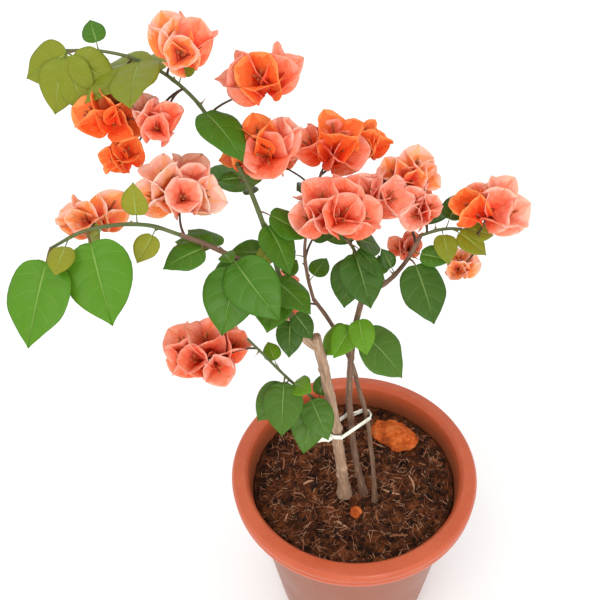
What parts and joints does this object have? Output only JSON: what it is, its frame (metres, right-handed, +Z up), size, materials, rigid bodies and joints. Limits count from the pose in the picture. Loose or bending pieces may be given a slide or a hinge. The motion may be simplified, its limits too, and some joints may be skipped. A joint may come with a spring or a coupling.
{
  "type": "potted bougainvillea bush",
  "caption": "Young open bougainvillea shrub of tied bare stems with arching shoots, heart-shaped leaves and coral-orange papery bracts, in a round terracotta-coloured plastic nursery pot.",
  "frame": {"origin": "centre of the pot's flat underside", "axes": "+Z up out of the pot; +X toward the side of the short right bough, with the long arching shoots over -X; -Y is the side from which the leaves are seen face on"},
  "size_m": [0.3518, 0.2789, 0.6761],
  "materials": {
    "pot_plastic": "terracotta-coloured moulded plastic, satin, with a slight sheen on the rim",
    "potting_soil": "damp dark coir and loam mix with pale fibres and chips",
    "laterite": "rough orange-red porous lump",
    "grey_bark": "grey-brown ridged bark with a pale sawn top",
    "brown_bark": "thin dark brown bark",
    "green_bark": "young green-brown shoots",
    "leaves": "leaf surface with a soft sheen, bright to dark green",
    "bracts": "thin papery bracts, coral orange to salmon pink",
    "tie": "off-white soft plastic strip"
  },
  "bodies": {
    "root": {"bract_mass_arch": "bracts", "bract_mass_back": "bracts", "bract_mass_behind": "bracts", "bract_mass_centre": "bracts", "bract_mass_centre_left": "bracts", "bract_mass_centre_top": "bracts", "bract_mass_low_left": "bracts", "bract_mass_low_top": "bracts", "bract_mass_right_end": "bracts", "bract_mass_right_inner": "bracts", "bract_mass_right_low": "bracts", "bract_mass_right_middle": "bracts", "bract_mass_right_outer": "bracts", "bract_mass_right_top": "bracts", "bract_mass_shoot_drop": "bracts", "bract_mass_shoot_far": "bracts", "bract_mass_shoot_low": "bracts", "bract_mass_shoot_side": "bracts", "bract_mass_shoot_top": "bracts", "bract_mass_top": "bracts", "centre_shoot": "brown_bark", "laterite_crumb": "laterite", "laterite_lump": "laterite", "leaf_mass_arch_end": "leaves", "leaf_mass_arch_hang": "leaves", "leaf_mass_arch_outer": "leaves", "leaf_mass_arch_top": "leaves", "leaf_mass_back_centre": "leaves", "leaf_mass_back_left": "leaves", "leaf_mass_back_right": "leaves", "leaf_mass_centre": "leaves", "leaf_mass_fork": "leaves", "leaf_mass_leader": "leaves", "leaf_mass_low_left": "leaves", "leaf_mass_low_right": "leaves", "leaf_mass_right_hang": "leaves", "leaf_mass_right_inner": "leaves", "leaf_mass_right_twig": "leaves", "leaf_mass_shoot_foot": "leaves", "leaf_mass_shoot_inner": "leaves", "leaf_mass_shoot_outer": "leaves", "leaf_mass_shoot_tip": "leaves", "leaf_mass_stem_right": "leaves", "leaf_mass_stem_top": "leaves", "left_arch_reach": "green_bark", "left_arch_rise": "brown_bark", "left_leader": "grey_bark", "low_shoot": "green_bark", "middle_stem": "brown_bark", "pot": "pot_plastic", "right_bough": "brown_bark", "right_twig": "green_bark", "soil": "potting_soil", "thin_stem": "brown_bark", "thin_stem_upper": "brown_bark", "tie_loop": "tie", "tie_tail": "tie", "trunk": "grey_bark", "upper_shoot_reach": "green_bark", "upper_shoot_rise": "green_bark"}
  },
  "joints": []
}
